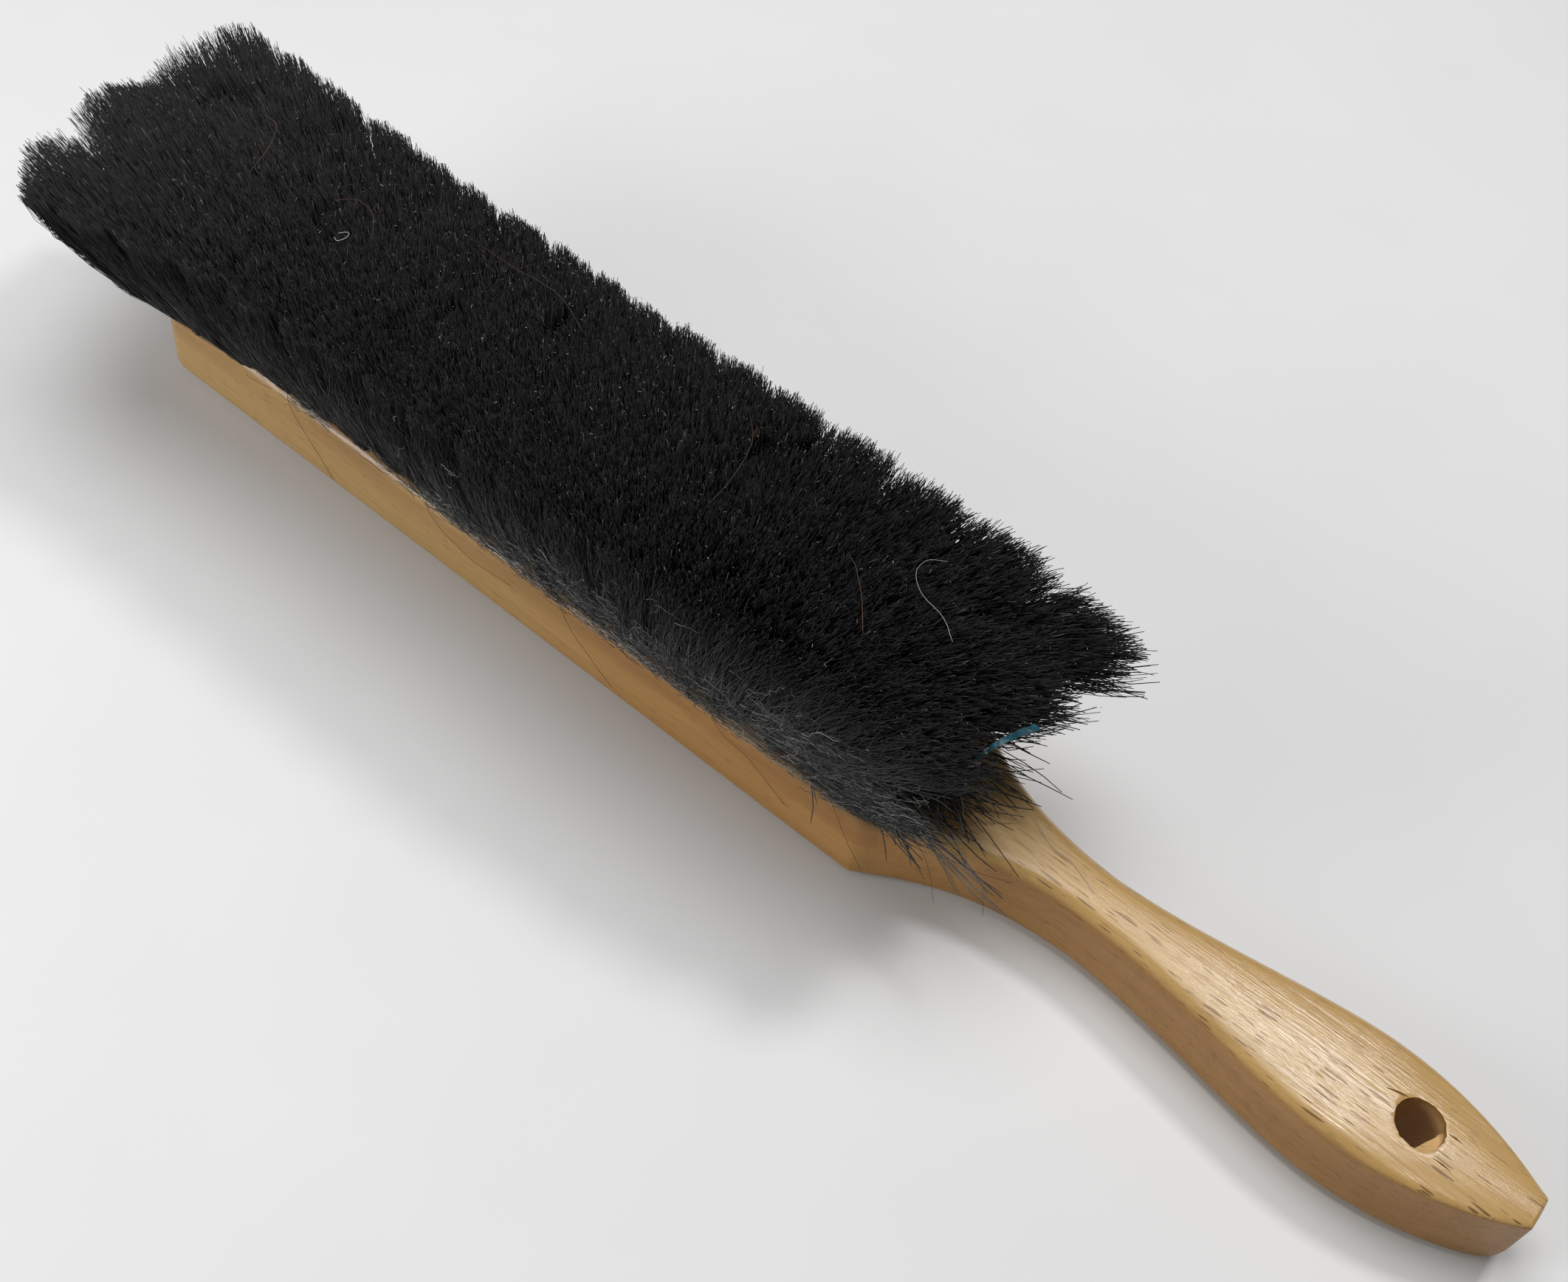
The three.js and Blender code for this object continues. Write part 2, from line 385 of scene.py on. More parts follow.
def all_pores(graph, grain, x, y, side):
    """Long pores, most of them on the near half of the grip, and small ones everywhere."""
    near_grip = graph.product(graph.fade(y, 9.0, -6.0), graph.fade(x, 112.0, 150.0))
    long = pore_mask(graph, grain, (1 / 8.0, 1 / 0.65, 1 / 0.65), 0.25, 0.4)
    long = graph.product(long, graph.scale_add(near_grip, 0.7, 0.3), graph.scale_add(side, -0.75, 1.0))
    small = pore_mask(graph, grain, (1 / 5.0, 1 / 0.4, 1 / 0.4), 0.3, 0.32)
    return graph.math("MAXIMUM", long, graph.product(small, 0.6))


def pore_mask(graph, grain, scale, share, size):
    """Open vessels along the grain: long cells, some of them empty, of mixed sizes."""
    inputs = {"Vector": graph.scaled(grain, scale), "Scale": 1.0}
    cells = graph.node("ShaderNodeTexVoronoi", inputs)
    lot = graph.split(cells.outputs["Color"])[0]
    reach = graph.product(graph.fade(lot, share, 1.0), size)
    return graph.fade(graph.math("SUBTRACT", reach, cells.outputs["Distance"]), 0.0, 0.1)


def dirt_and_shade_mask(graph, place, x, y, z):
    """Handling dirt and painted shade along the top of the block's sides, under the overhanging hair."""
    height = graph.fade(z, 7.0, 18.0)
    side = graph.fade(graph.math("ABSOLUTE", y), 14.0, 18.5)
    block = graph.fade(x, 122.0, 100.0)
    patches = graph.fade(graph.noise(graph.scaled(place, (0.03, 0.12, 0.12)), detail=4), 0.2, 0.6)
    return graph.product(height, side, block, patches)


def side_mask(graph):
    """The upright sides, apart from the top and bottom faces."""
    upward = graph.split(graph.node("ShaderNodeTexCoord").outputs["Normal"])[2]
    return graph.fade(graph.math("ABSOLUTE", upward), 0.75, 0.3)


def hole_mask(graph, x, y, z):
    """The bare wall of the hang hole, from just below its rim."""
    away_x = graph.math("SUBTRACT", x, HOLE_X / MM)
    square = graph.math("ADD", graph.math("POWER", away_x, 2.0), graph.math("POWER", y, 2.0))
    inside = graph.fade(graph.math("SQRT", square), HOLE_RADIUS / MM + 0.5, HOLE_RADIUS / MM + 0.1)
    below = graph.fade(z, THICKNESS / MM - 0.3, THICKNESS / MM - 3.0)
    return graph.product(inside, below, 0.9)


def strand_lot(graph):
    """Two random numbers for each strand, and how far along it a point is."""
    cell = graph.node("ShaderNodeUVMap", uv_map="OFBake").outputs[0]
    grid = graph.scaled(cell, (BAKE_CELLS, BAKE_CELLS, 0))
    floor = graph.node("ShaderNodeVectorMath", {0: grid}, operation="FLOOR").outputs[0]
    lot = graph.node("ShaderNodeTexWhiteNoise", {"Vector": floor}, noise_dimensions="3D")
    along = graph.math("FRACT", graph.split(grid)[1])
    return lot.outputs["Value"], graph.split(lot.outputs["Color"])[1], along


def hair_material():
    """Black, with some brown and some pale-tipped hairs, dusty at the near face's foot."""
    graph = Graph("black_horsehair")
    value, other, along = strand_lot(graph)
    place = graph.millimetres()
    x, y, z = graph.split(place)

    black = graph.mix(value, (0.010, 0.010, 0.0108), (0.026, 0.025, 0.025))
    brown = graph.fade(other, 0.94, 0.99)
    colour = graph.mix(brown, black, (0.032, 0.022, 0.015))
    pale = graph.product(graph.fade(value, 0.975, 0.985), graph.fade(along, 0.85, 0.87))
    colour = graph.mix(pale, colour, (0.11, 0.10, 0.085))

    low = graph.fade(z, 62.0, 26.0)
    near = graph.fade(y, -10.0, -20.0)
    to_handle = graph.fade(x, -110.0, 70.0)
    patch = graph.noise(graph.scaled(place, (0.15, 0.15, 0.1)), detail=3)
    thicker = graph.scale_add(to_handle, 0.45, 0.55)
    dust = graph.product(low, near, graph.fade(patch, 0.15, 0.6), thicker, graph.fade(other, -0.6, 0.7))
    colour = graph.mix(dust, colour, (0.14, 0.14, 0.14))
    return graph.finish(colour, 0.7, {"Specular IOR Level": 0.25})


def fibre_material(name, dark, light, roughness, rarity=1.0):
    """One colour for each fibre, from dark to light; rarity makes light ones rarer."""
    graph = Graph(name)
    value = graph.math("POWER", strand_lot(graph)[0], rarity)
    return graph.finish(graph.mix(value, dark, light), roughness)


def sliver_material():
    """Thin coloured plastic with creases whitened by the bend."""
    graph = Graph("teal_plastic")
    creases = graph.fade(graph.noise(graph.millimetres(), 0.9, 3), 0.5, 0.75)
    return graph.finish(graph.mix(creases, (0.004, 0.045, 0.066), (0.010, 0.10, 0.13)), 0.45)


def torn_wood_material():
    graph = Graph("torn_beech")
    fibres = graph.noise(graph.scaled(graph.millimetres(), (0.4, 5, 5)), detail=4)
    colour = graph.mix(fibres, (0.72, 0.47, 0.20), (0.42, 0.23, 0.08))
    return graph.finish(colour, 0.75)


def wire_material():
    graph = Graph("anchor_wire")
    stain = graph.fade(graph.noise(graph.millimetres(), 1.5, 4), 0.35, 0.7)
    colour = graph.mix(stain, (0.5, 0.48, 0.45), (0.24, 0.17, 0.11))
    return graph.finish(colour, 0.45, {"Metallic": 0.9})


def floor_material():
    graph = Graph("pale_floor")
    speckle = graph.noise(graph.millimetres(), 0.02)
    colour = graph.mix(speckle, (0.74, 0.74, 0.74), (0.78, 0.78, 0.78))
    return graph.finish(colour, 0.8, {"Specular IOR Level": 0.1})


# ---- the wood

def bezier(points, steps):
    t = np.linspace(0, 1, steps)[:, None]
    a, b, c, d = (np.array(point) for point in points)
    return a * (1 - t) ** 3 + 3 * b * t * (1 - t) ** 2 + 3 * c * t ** 2 * (1 - t) + d * t ** 3


def handle_edge(start, end, pull, steps=400):
    run = end[0] - start[0]
    first = pull[0] * run
    last = pull[1] * run
    return bezier([
        (SHOULDER_X + start[0], start[1]),
        (SHOULDER_X + start[0] + first, start[1] + start[2] * first),
        (SHOULDER_X + end[0] - last, end[1] - end[2] * last),
        (SHOULDER_X + end[0], end[1]),
    ], steps)


def line_points(at, distance, line):
    """Points at the distances at, on a line whose own points have the distances given."""
    return np.stack([np.interp(at, distance, line[:, k]) for k in (0, 1)], axis=1)


def half_outline():
    """Half of the plan outline, from the free end to the nose: distances along it, its points
    and its outward direction, smoothed over each corner."""
    corner_y = HALF_WIDTH - END_RADIUS
    turn = np.linspace(math.pi, math.pi / 2, 60)
    arc = np.stack([np.cos(turn), np.sin(turn)], axis=1) * END_RADIUS
    arc += np.array([FREE_END_X + END_RADIUS, corner_y])
    nose_corner = NOSE[1] + NOSE[2] * (NOSE_X - SHOULDER_X - NOSE[0])
    points = np.concatenate([
        [(FREE_END_X, 0)],
        arc,
        handle_edge(SHOULDER, NECK, SHOULDER_PULL),
        handle_edge(NECK, GRIP, GRIP_PULL)[1:],
        handle_edge(GRIP, NOSE, NOSE_PULL)[1:],
        [(NOSE_X, nose_corner), (NOSE_X, 0)],
    ])
    distance = np.concatenate([[0], np.cumsum(np.linalg.norm(np.diff(points, axis=0), axis=1))])
    fine = np.arange(0, distance[-1], OUTLINE_STEP)
    along = line_points(fine, distance, points)
    step_x, step_y = np.gradient(along, axis=0).T
    angle = np.unwrap(np.arctan2(step_y, step_x))
    reach = int(1.2 * MM / OUTLINE_STEP)
    width = 2 * reach + 1
    angle = np.convolve(np.pad(angle, reach, mode="edge"), np.ones(width) / width, mode="valid")
    outward = np.stack([-np.sin(angle), np.cos(angle)], axis=1)
    return fine, along, outward


def edge_radius(x):
    """Round-over of the edges: widest at the neck, crisp at the nose."""
    return np.interp(x, [FREE_END_X] + STATIONS_X, np.array([2.6, 2.6, 3.2, 2.4, 0.8]) * MM)


def wood_stations(fine, along, outward, columns):
    """Distances along the outline for the wood's rows of points; which rows are the last of
    the free end's flat, the first of the nose's and the first of the hang hole; and how many
    the hole has."""
    flat_end = HALF_WIDTH - END_RADIUS
    first = flat_end * columns
    arc = flat_end + END_RADIUS * np.linspace(0, math.pi / 2, 14)[1:]
    nose_flat = fine[-1] - 2.6 * MM
    inset_x = along[:, 0] - outward[:, 0] * edge_radius(along[:, 0])
    handle_from = np.searchsorted(inset_x, SHOULDER_X)
    block = np.arange(arc[-1] + BLOCK_STEP, fine[handle_from], BLOCK_STEP)

    turn = np.radians(np.arange(0, 181, 5))
    hole = HOLE_X - HOLE_RADIUS * np.cos(turn)
    before = np.arange(SHOULDER_X + 0.5 * MM, hole[0] - 6 * MM, HANDLE_STEP)
    close = np.arange(hole[0] - 6 * MM, hole[0] - 0.2 * MM, HOLE_STEP)
    beyond = np.arange(hole[-1] + HOLE_STEP, hole[-1] + 8 * MM, HOLE_STEP)
    last = np.arange(hole[-1] + 8 * MM, NOSE_X - 1.6 * MM, HANDLE_STEP)
    handle_x = np.concatenate([before, close, hole, beyond, last])
    nose_points = 80  # of the outline, that turn in to the flat of the nose
    handle = np.interp(handle_x, inset_x[handle_from:-nose_points], fine[handle_from:-nose_points])

    nose = np.linspace(handle[-1] + 0.4 * MM, nose_flat, 6)
    back = nose_flat + (fine[-1] - nose_flat) * (1 - columns[::-1][1:])
    sides = np.concatenate([first, arc, block, handle, nose, back])
    hole_start = len(first) + len(arc) + len(block) + len(before) + len(close)
    return sides, len(first) - 1, len(sides) - len(back) - 1, hole_start, len(hole)


def edge_profile(radius):
    """Inset and height of each ring of points, from the bottom face to the top."""
    turn = np.radians(np.linspace(0, 90, 7))
    insets = [radius * share for share in 1 - np.sin(turn)]
    heights = [radius * share for share in 1 - np.cos(turn)]
    walls = np.linspace(0, 1, 7)[1:-1]
    ring_insets = insets + [0 * radius for _ in walls] + insets[::-1]
    ring_heights = heights + [radius + (THICKNESS - 2 * radius) * wall for wall in walls]
    ring_heights += [THICKNESS - height for height in heights[::-1]]
    return zip(ring_insets, ring_heights)


def add_row(points, row):
    """Adds a row of points and gives their numbers."""
    points.extend(row)
    return list(range(len(points) - len(row), len(points)))


def strips(rows):
    """Faces between each row of point numbers and the next one."""
    return [
        (lower[k], lower[k + 1], upper[k + 1], upper[k])
        for lower, upper in zip(rows[:-1], rows[1:])
        for k in range(len(lower) - 1)
    ]


def face_rows(points, ring, first_row, last_row, columns):
    """Rows of points across a flat face, from its middle or the hang hole to the ring."""
    rows = {first_row: ring[:first_row + 1], last_row: ring[last_row:][::-1]}
    for k in range(first_row + 1, last_row):
        x, y, z = points[ring[k]]
        inner = math.sqrt(max(HOLE_RADIUS ** 2 - (x - HOLE_X) ** 2, 0))
        row = [np.array([x, inner + (y - inner) * share, z]) for share in columns[:-1]]
        rows[k] = add_row(points, row) + [ring[k]]
    return rows


def half_wood():
    """Points and faces of the wood on the +Y side of its middle plane."""
    columns = np.linspace(0, 1, 12) ** 1.35
    fine, along, outward = half_outline()
    stations, first_row, last_row, hole_start, hole_count = wood_stations(
        fine, along, outward, columns)
    at = line_points(stations, fine, along)
    out = line_points(stations, fine, outward)
    at[[0, -1], 1] = 0
    out[[0, -1], 1] = 0
    points = []
    rings = [
        add_row(points, np.column_stack([at - inset[:, None] * out, height]))
        for inset, height in edge_profile(edge_radius(at[:, 0]))
    ]
    faces = strips(rings)
    rims = []
    for ring in (rings[0], rings[-1]):
        rows = face_rows(points, ring, first_row, last_row, columns)
        for k in range(first_row, last_row):
            for c in range(len(columns) - 1):
                faces.append((rows[k][c], rows[k + 1][c], rows[k + 1][c + 1], rows[k][c + 1]))
        rims.append([rows[k][0] for k in range(hole_start, hole_start + hole_count)])
    return points, faces + hole_wall(points, rims)


def hole_wall(points, rims):
    """Faces of the hang hole's wall, between its two rims."""
    low, high = (np.array([points[k] for k in rim]) for rim in rims)
    levels = 16
    rows = [add_row(points, low + (high - low) * level / levels) for level in range(1, levels)]
    return strips([rims[0], *rows, rims[1]])


def crown(points):
    """Lowers the handle's top face and raises its bottom face towards the edges."""
    x, y, z = points.T
    half = np.interp(x, STATIONS_X, [HALF_WIDTH, NECK[1], GRIP[1], NOSE[1]])
    share = np.clip((x - SHOULDER_X) / (20 * MM), 0, 1)
    drop = CROWN * share * np.clip(y / half, -1, 1) ** 2
    points[:, 2] = z - drop * (2 * z / THICKNESS - 1)


def round_nose(points):
    """Wears away the lower corner of the nose."""
    x, y, z = points.T
    end = np.clip((x - NOSE_X) / (6 * MM) + 1, 0, 1)
    low = np.clip(1 - z / (8 * MM), 0, 1)
    points[:, 2] = z + 1.1 * MM * end ** 2 * low ** 2
    points[:, 0] = x - 1.3 * MM * end ** 2 * low ** 2


def chips(points, rng):
    """Torn fibres and chips at the upper rim of the hang hole."""
    away = points[:, :2] - np.array([HOLE_X, 0])
    distance = np.hypot(*away.T)
    angle = np.arctan2(away[:, 1], away[:, 0])
    waves = sum(
        np.sin(n * angle + rng.uniform(0, 2 * math.pi)) * strength
        for n, strength in ((3, 0.5), (5, 0.6), (9, 0.5), (14, 0.5), (23, 0.4))
    )
    torn_left = np.exp(-((angle - 2.6) / 0.4) ** 2)
    torn_right = np.exp(-((angle + 0.9) / 0.45) ** 2)
    ragged = np.clip(0.06 + 0.09 * waves + 0.7 * torn_left + 0.8 * torn_right, 0, 1.2)
    width = (0.3 + 1.0 * ragged) * MM
    near_rim = np.clip(1 - (distance - HOLE_RADIUS) / width, 0, 1)
    top = np.clip((points[:, 2] - THICKNESS + 3 * MM) / (3 * MM), 0, 1) ** 2
    close = distance < HOLE_RADIUS + 4 * MM
    points[:, 2] -= np.where(close, 0.4 * MM * ragged * near_rim ** 1.5 * top, 0)
    wall = np.abs(distance - HOLE_RADIUS) < 0.05 * MM
    rough = 0.12 * MM * waves * np.sin(points[:, 2] / MM * 1.7 + 3 * angle)
    grow = np.where(wall, rough + 0.5 * MM * ragged * top, 0)
    points[:, :2] += away / np.maximum(distance, 1e-9)[:, None] * grow[:, None]


def add_crack(points, faces, start, end, width, depth):
    """A thin wedge along the grain, pointed at both ends, that opens a crack."""
    above = THICKNESS + 0.4 * MM
    surface = THICKNESS - 0.1 * MM
    first = len(points)
    middle = (start[0] + end[0]) / 2
    middle_y = (start[1] + end[1]) / 2 + 0.12 * MM
    points.extend([
        (*start, surface),
        (middle, middle_y - width, above),
        (middle, middle_y + width, above),
        (middle, middle_y, surface - depth),
        (*end, surface),
    ])
    for tip, turn in ((first, 1), (first + 4, -1)):
        for a, b in ((1, 2), (2, 3), (3, 1)):
            faces.append((tip, first + a, first + b)[::turn])


def add_drilled_hole(points, faces, x, y):
    """A blind tuft hole as drilled, with the drill's cone at the bottom."""
    sides = 14
    floor = THICKNESS - TUFT_HOLE_DEPTH
    start = len(points)
    for height in (THICKNESS + 1 * MM, floor):
        for angle in np.arange(sides) * 2 * math.pi / sides:
            out_x = TUFT_HOLE_RADIUS * math.cos(angle)
            out_y = TUFT_HOLE_RADIUS * math.sin(angle)
            points.append((x + out_x, y + out_y, height))
    points.append((x, y, floor - 1.2 * MM))
    for k in range(sides):
        after = (k + 1) % sides
        faces.append((start + k, start + sides + k, start + sides + after, start + after))
        faces.append((start + sides + k, start + 2 * sides, start + sides + after))
    faces.append(tuple(start + k for k in range(sides)))


def wood_cutter():
    points = []
    faces = []
    for start, end, width, depth in CRACKS:
        ends = [(HOLE_X + x * MM, y * MM) for x, y in (start, end)]
        add_crack(points, faces, *ends, width * MM, depth * MM)
    for x, y in tuft_centres():
        add_drilled_hole(points, faces, x, y)
    return mesh_object("wood_cutter", points, faces, None)


def apply_modifiers(piece):
    graph = bpy.context.evaluated_depsgraph_get()
    mesh = bpy.data.meshes.new_from_object(piece.evaluated_get(graph))
    piece.modifiers.clear()
    piece.data = mesh


def make_wood(rng):
    """The one piece of wood: both halves joined, then worn, chipped and cut."""
    points, faces = half_wood()
    half = len(points)
    mirrored = [(x, -y, z) for x, y, z in points]
    turned = [tuple(half + k for k in face[::-1]) for face in faces]
    piece = mesh_object("wood_block_and_handle", points + mirrored, faces + turned, wood_material())
    work = bmesh.new()
    work.from_mesh(piece.data)
    bmesh.ops.remove_doubles(work, verts=work.verts, dist=0.002 * MM)
    bmesh.ops.recalc_face_normals(work, faces=work.faces)
    work.to_mesh(piece.data)
    work.free()
    vertices = piece.data.vertices
    place = np.empty((len(vertices), 3))
    vertices.foreach_get("co", place.ravel())
    crown(place)
    round_nose(place)
    chips(place, rng)
    vertices.foreach_set("co", place.ravel())
    cutter = wood_cutter()
    cut = piece.modifiers.new("holes_and_cracks", "BOOLEAN")
    cut.object = cutter
    cut.operation = "DIFFERENCE"
    cut.solver = "EXACT"
    apply_modifiers(piece)
    bpy.data.objects.remove(cutter)
    piece.data.shade_smooth()
    piece.data.set_sharp_from_angle(angle=math.radians(42))
    piece.modifiers.new("weighted_normals", "WEIGHTED_NORMAL").keep_sharp = True
    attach(piece, "root")
    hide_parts("handle_block")
    return piece


def make_rim_splinter(rng):
    """A ledge of torn wood in the nose side of the hang hole, below its rim."""
    away = 2.9 * MM
    facing = math.radians(-24)
    reach = math.acos(away / HOLE_RADIUS)
    steps = 14
    top = THICKNESS - 2.0 * MM
    turn = np.linspace(-reach, reach, steps)
    radius = HOLE_RADIUS + 0.3 * MM
    arc = radius * np.stack([np.cos(turn), np.sin(turn)], axis=1)
    side = np.linspace(arc[-1, 1], arc[0, 1], steps)[1:-1]
    tear = away + rng.normal(scale=0.04 * MM, size=steps - 2)
    outline = np.concatenate([arc, np.stack([tear, side], axis=1)])
    cos = math.cos(facing)
    sin = math.sin(facing)
    spin = np.array([[cos, sin], [-sin, cos]])
    middle = np.array([HOLE_X, 0])
    outline = outline @ spin + middle
    centre = middle + 4 * MM * np.array([cos, sin])
    count = len(outline)
    points = []
    for height, pull in ((top - 2.2 * MM, 0.15), (top - 1.9 * MM, 0), (top - 0.2 * MM, 0), (top, 0.1)):
        ring = outline + (centre - outline) * pull
        rough = rng.normal(scale=0.06 * MM, size=count)
        points.extend(np.column_stack([ring, height + rough]))
    piece = mesh_object("hang_hole_splinter", points, loft_faces(count, 4), torn_wood_material())
    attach(piece, "root")


# ---- the hair

def rank_x(rank):
    return FIELD_MIDDLE + (rank - (RANKS - 1) / 2) * RANK_PITCH


def rank_ys(rank):
    """Three tufts across the block in even ranks, two in odd ones."""
    rows = (-2, 0, 2) if rank % 2 == 0 else (-1, 1)
    return [row * ROW_SPACING for row in rows]


def tuft_centres(first_rank=0):
    return [(rank_x(rank), y) for rank in range(first_rank, RANKS) for y in rank_ys(rank)]


def lean(x, y):
    """How far the tips of hair that belongs at (x, y) lean along X and Y."""
    along = np.clip((x - FIELD_MIDDLE) / FIELD_HALF_LENGTH, -LEAN_STOPS, LEAN_STOPS)
    across = y / FIELD_HALF_WIDTH
    to_handle = np.maximum(along, 0) ** END_POWER
    to_free_end = np.maximum(-along, 0) ** END_POWER
    near_side = (1 - across) / 2
    far_side = 1 - near_side
    parts = {
        "all": 1,
        "to_handle": to_handle,
        "to_free_end": to_free_end,
        "free_corner": to_free_end ** 2 * np.maximum(across, 0) ** 4,
        "far_side": far_side,
        "near_side": near_side,
        "middle": np.maximum(1 - across ** 2, 0),
        "far_row": np.exp(-((across - ROW_PLACE) / ROW_REACH) ** 2),
        "near_row": np.exp(-((across + ROW_PLACE) / ROW_REACH) ** 2),
    }
    handle, free_end, far, near = (
        sum(reach * parts[part] for part, reach in table.items())
        for table in (HANDLE_LEAN, FREE_END_LEAN, FAR_SIDE_LEAN, NEAR_SIDE_LEAN)
    )
    lean_x = handle * to_handle - free_end * to_free_end
    lean_y = far * far_side - near * np.maximum(near_side, 0) ** (1 + to_free_end)
    return lean_x * MM, lean_y * MM


def soft_limit(value, limit, soft):
    """Keeps value within the limit, squeezing what would pass it into a last stretch."""
    start = limit - soft
    size = np.abs(value)
    squeezed = start + soft * (1 - np.exp(-np.maximum(size - start, 0) / soft))
    return np.sign(value) * np.where(size > start, squeezed, size)


def disc_spots(count, rng):
    """Evenly spread, shaken spots in a unit disc."""
    order = np.arange(count) + 0.5
    turn = order * math.pi * (3 - math.sqrt(5)) + rng.uniform(0, 2 * math.pi)
    radius = np.sqrt(order / count)
    spots = np.stack([radius * np.cos(turn), radius * np.sin(turn)], axis=1)
    return spots + rng.normal(scale=0.35 / math.sqrt(count), size=spots.shape)


def per_clump(values):
    """Each clump's value, once for each of its hairs."""
    return np.repeat(values, HAIRS_PER_CLUMP, axis=0)


def tuft_homes(centre, spot, to_handle, rng):
    """Where a tuft's tips would be without the lean, held within the field."""
    closeness = rng.normal(1, 0.04) - 0.12 * to_handle
    home = centre + spot * TUFT_SPREAD * closeness
    home += rng.normal(scale=0.6 * MM, size=2)
    home += rng.normal(scale=0.4 * MM, size=spot.shape)
    home[:, 1] = soft_limit(home[:, 1], FIELD_HALF_WIDTH + 1.5 * MM, 5 * MM)
    near_corner = 6.5 * MM * np.maximum(-home[:, 1] / FIELD_HALF_WIDTH, 0) ** 4
    half_length = FIELD_HALF_LENGTH + 4.4 * MM - near_corner
    home[:, 0] = FIELD_MIDDLE + soft_limit(home[:, 0] - FIELD_MIDDLE, half_length, 6 * MM)
    return home


def splayed_lean(home, to_handle, rng):
    """The lean, a little different for each clump and hair at the handle end."""
    lean_x, lean_y = lean(home[:, 0], home[:, 1])
    clump_splay = per_clump(rng.normal(0, 0.04, CLUMPS_PER_TUFT))
    splay = 1 + to_handle * (clump_splay + rng.normal(0, 0.035, HAIRS_PER_TUFT))
    return lean_x * splay, lean_y * splay


def hair_lengths(to_handle, rng):
    """Lengths of a tuft's hairs, as parts of the trim, some worn at the handle end."""
    tuft_length = rng.normal(0.995, 0.012)
    clump_length = per_clump(rng.normal(0, 0.009, CLUMPS_PER_TUFT))
    worn = 0.12 * to_handle * rng.random(HAIRS_PER_TUFT) ** 1.5
    length = tuft_length + clump_length + 0.03 * to_handle - worn
    return length + rng.normal(0, 0.008 + 0.012 * to_handle, HAIRS_PER_TUFT)


def tuft_paths(centre, rng):
    """Paths of one tuft's hairs, from the hole's floor through its mouth to the tips."""
    spot = per_clump(disc_spots(CLUMPS_PER_TUFT, rng))
    own_spot = rng.permutation(disc_spots(HAIRS_PER_TUFT, rng))
    mouth = (0.5 * spot + 0.5 * own_spot) * (TUFT_HOLE_RADIUS - 0.2 * MM)
    to_handle = max((centre[0] - FIELD_MIDDLE) / FIELD_HALF_LENGTH, 0) ** END_POWER
    home = tuft_homes(centre, spot, to_handle, rng)
    lean_x, lean_y = splayed_lean(home, to_handle, rng)
    length = hair_lengths(to_handle, rng)
    least_rise = 20 * MM
    rise = np.sqrt(np.maximum(TRIM ** 2 - lean_x ** 2 - lean_y ** 2, least_rise ** 2))

    fraction = HAIR_LEVELS * length[:, None]
    along = fraction ** BEND_ALONG
    across = fraction ** BEND_ACROSS
    opened = 1 - (1 - np.minimum(fraction, 1)) ** TUFT_OPENING
    stray = HAIR_WANDER * (1 + 0.6 * to_handle)
    wander = rng.normal(scale=MM, size=(*fraction.shape, 2)) * stray[:, None]
    start = centre + mouth
    flat = start[:, None] + (home - start)[:, None] * opened[..., None]
    path = np.empty((HAIRS_PER_TUFT, len(HAIR_LEVELS) + 1, 3))
    path[:, 1:, 0] = flat[..., 0] + lean_x[:, None] * along + wander[..., 0]
    path[:, 1:, 1] = flat[..., 1] + lean_y[:, None] * across + wander[..., 1]
    path[:, 1:, 2] = THICKNESS + rise[:, None] * fraction
    foot = THICKNESS - TUFT_HOLE_DEPTH + 1.2 * MM
    path[:, 0, :2] = centre + mouth * 0.75
    path[:, 0, 2] = foot + rng.uniform(0, 0.6 * MM, HAIRS_PER_TUFT)
    return path


def make_hair_ranks(rng):
    """One piece for each rank of tufts, with stouter hairs in the last few ranks."""
    material = hair_material()
    for rank in range(RANKS):
        centres = [np.array([rank_x(rank), y]) for y in rank_ys(rank)]
        paths = np.concatenate([tuft_paths(centre, rng) for centre in centres])
        stouter = 1 + 0.4 * (rank / (RANKS - 1)) ** 6
        thickness = HAIR_RADIUS * stouter * rng.uniform(0.75, 1.25, (len(paths), 1))
        radii = thickness * HAIR_TAPER
        number = f"{rank + 1:02d}"
        piece = tube_object(f"hair_rank_{number}", paths, radii, material, rng)
        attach(piece, "root")
        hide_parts(f"tuft_rank_{number}")


def neck_roots(rng):
    """Where each neck hair leaves the wood: those of the last kind share one mouth."""
    mouths = np.array([(x, y) for x, y in tuft_centres(RANKS - 5) if y < 12 * MM])
    near_mouths = mouths[(mouths[:, 1] < -6 * MM) & (mouths[:, 0] > 70 * MM)]
    last_mouth = mouths[mouths[:, 0] > rank_x(RANKS - 2) + MM][:1]
    long, short, bundle = (kind[0] for kind in NECK_HAIRS)
    root = np.concatenate([
        mouths[rng.integers(len(mouths), size=long)],
        near_mouths[rng.integers(len(near_mouths), size=short)],
        np.repeat(last_mouth, bundle, axis=0),
    ])
    return root + rng.permutation(disc_spots(len(root), rng)) * (TUFT_HOLE_RADIUS - 0.3 * MM)


